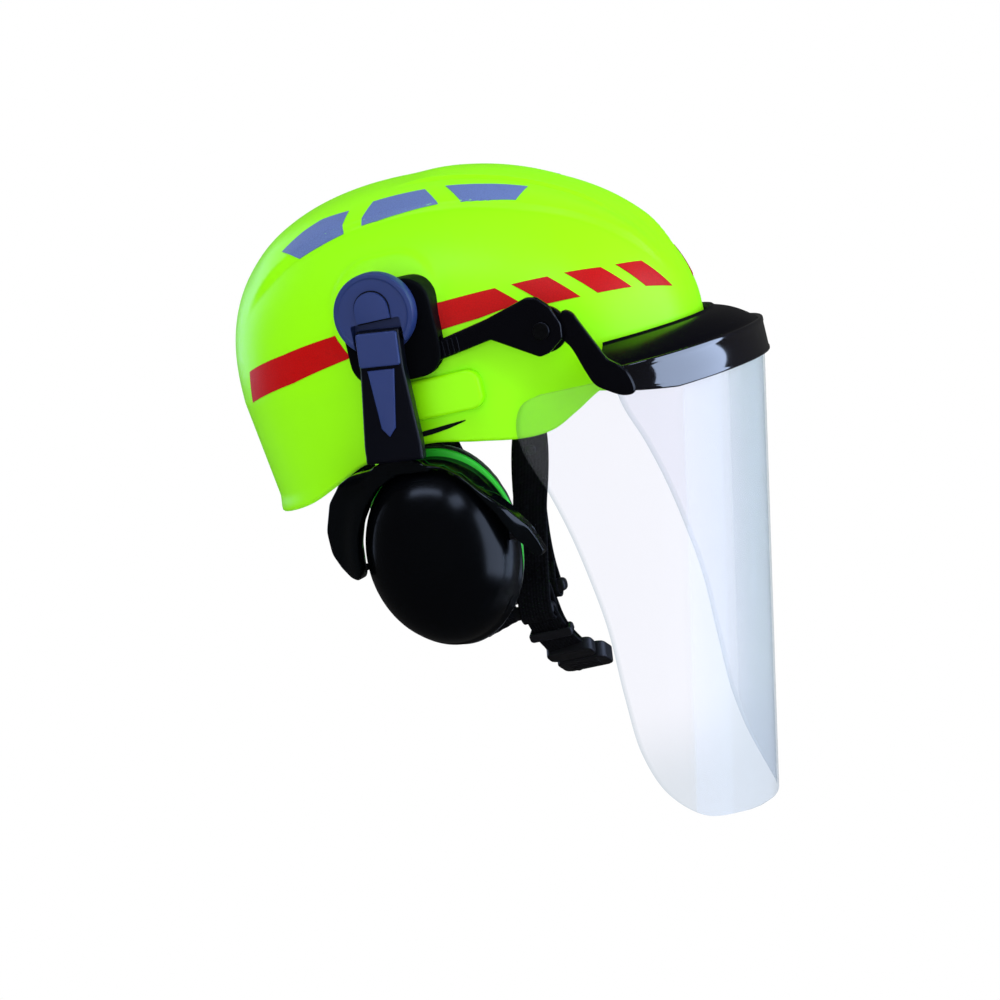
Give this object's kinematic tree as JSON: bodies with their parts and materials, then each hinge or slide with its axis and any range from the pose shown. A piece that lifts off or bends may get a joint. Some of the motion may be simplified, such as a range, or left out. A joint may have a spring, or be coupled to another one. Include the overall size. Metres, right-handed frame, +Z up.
{
  "type": "forestry helmet",
  "caption": "Safety helmet with side ear muffs on folding arms, a clear flip-up face visor under a peak, inner harness and buckled chin strap.",
  "frame": {"origin": "centre of the headband, in the middle of the head opening", "axes": "+Z up through the crown, +X forwards to the visor, +Y to the wearer's left"},
  "size_m": [0.3636, 0.3595, 0.398],
  "materials": {
    "lime_shell": "glossy moulded shell",
    "green_plate": "smooth moulded",
    "hub_plastic": "satin blue-black",
    "arm_plastic": "satin black",
    "gloss_black": "polished black",
    "cushion_skin": "soft black leatherette",
    "soft_pad": "padded black fabric",
    "foam": "open-cell foam",
    "harness_plastic": "satin black",
    "frame_plastic": "satin black",
    "clear_visor": "clear sheet",
    "webbing": "woven webbing",
    "steel": "plated steel"
  },
  "bodies": {
    "helmet": {"shell": "lime_shell", "cradle": "harness_plastic", "crown_pad": "soft_pad", "headband": "harness_plastic", "brow_pad": "soft_pad", "nape_band": "harness_plastic", "ratchet_housing": "harness_plastic", "ear_base_r": "hub_plastic", "ear_base_l": "hub_plastic", "hub_pin_r": "steel", "hub_pin_l": "steel", "front_strap_r": "webbing", "front_strap_l": "webbing", "rear_strap_r": "webbing", "rear_strap_l": "webbing", "strap_divider_r": "harness_plastic", "strap_divider_l": "harness_plastic", "chin_strap_r": "webbing", "chin_strap_l": "webbing", "strap_keeper": "harness_plastic", "buckle_plug": "harness_plastic", "buckle_socket": "harness_plastic"},
    "knob": {"ratchet_knob": "harness_plastic"},
    "visor_carriage": {"visor_arm_r": "arm_plastic", "visor_arm_l": "arm_plastic", "visor_screw_r": "steel", "visor_screw_l": "steel"},
    "visor": {"visor_frame": "frame_plastic", "brow_guard": "frame_plastic", "visor_sheet": "clear_visor", "visor_stud_1": "frame_plastic", "visor_stud_2": "frame_plastic", "visor_stud_3": "frame_plastic"},
    "hub_r": {"ear_disc_r": "hub_plastic", "flip_pin_r": "steel"},
    "arm_r": {"ear_arm_r": "arm_plastic"},
    "yoke_r": {"ear_yoke_r": "gloss_black"},
    "cup_r": {"cup_shell_r": "gloss_black", "cup_foam_r": "foam", "cushion_plate_r": "green_plate", "ear_cushion_r": "cushion_skin"},
    "hub_l": {"ear_disc_l": "hub_plastic", "flip_pin_l": "steel"},
    "arm_l": {"ear_arm_l": "arm_plastic"},
    "yoke_l": {"ear_yoke_l": "gloss_black"},
    "cup_l": {"cup_shell_l": "gloss_black", "cup_foam_l": "foam", "cushion_plate_l": "green_plate", "ear_cushion_l": "cushion_skin"}
  },
  "joints": [
    {"name": "ratchet_turn", "type": "hinge", "parent": "helmet", "child": "knob", "pos_m": [-0.118, 0, -0.044], "axis": [1, 0, 0], "continuous": true},
    {"name": "visor_reach", "type": "slide", "parent": "helmet", "child": "visor_carriage", "axis": [1, 0, 0], "range_m": [0, 0.01]},
    {"name": "visor_flip", "type": "hinge", "parent": "visor_carriage", "child": "visor", "pos_m": [0.079, 0, 0.0047], "axis": [0, -1, 0], "range_deg": [0, 75]},
    {"name": "ear_swivel_r", "type": "hinge", "parent": "helmet", "child": "hub_r", "pos_m": [-0.012, -0.12, 0.035], "axis": [0, 1, 0], "range_deg": [-2, 4]},
    {"name": "ear_flip_r", "type": "hinge", "parent": "hub_r", "child": "arm_r", "pos_m": [-0.012, -0.123, 0.021], "axis": [-1, 0, 0], "range_deg": [0, 30]},
    {"name": "ear_slide_r", "type": "slide", "parent": "arm_r", "child": "yoke_r", "axis": [-0.1045, 0, -0.9945], "range_m": [0, 0.015]},
    {"name": "cup_tilt_r", "type": "hinge", "parent": "yoke_r", "child": "cup_r", "pos_m": [-0.0115, -0.112, -0.106], "axis": [1, 0, 0], "range_deg": [-5, 2]},
    {"name": "ear_swivel_l", "type": "hinge", "parent": "helmet", "child": "hub_l", "pos_m": [-0.012, 0.12, 0.035], "axis": [0, 1, 0], "range_deg": [-72, 0]},
    {"name": "ear_flip_l", "type": "hinge", "parent": "hub_l", "child": "arm_l", "pos_m": [-0.02516, 0.123, 0.03021], "axis": [0.342, 0, -0.9397], "range_deg": [0, 8]},
    {"name": "ear_slide_l", "type": "slide", "parent": "arm_l", "child": "yoke_l", "axis": [-0.8283, 0.527, -0.1902], "range_m": [0, 0.015]},
    {"name": "cup_tilt_l", "type": "hinge", "parent": "yoke_l", "child": "cup_l", "pos_m": [-0.13167, 0.18097, -0.00909], "axis": [0.342, 0, -0.9397], "range_deg": [-2, 5]}
  ]
}
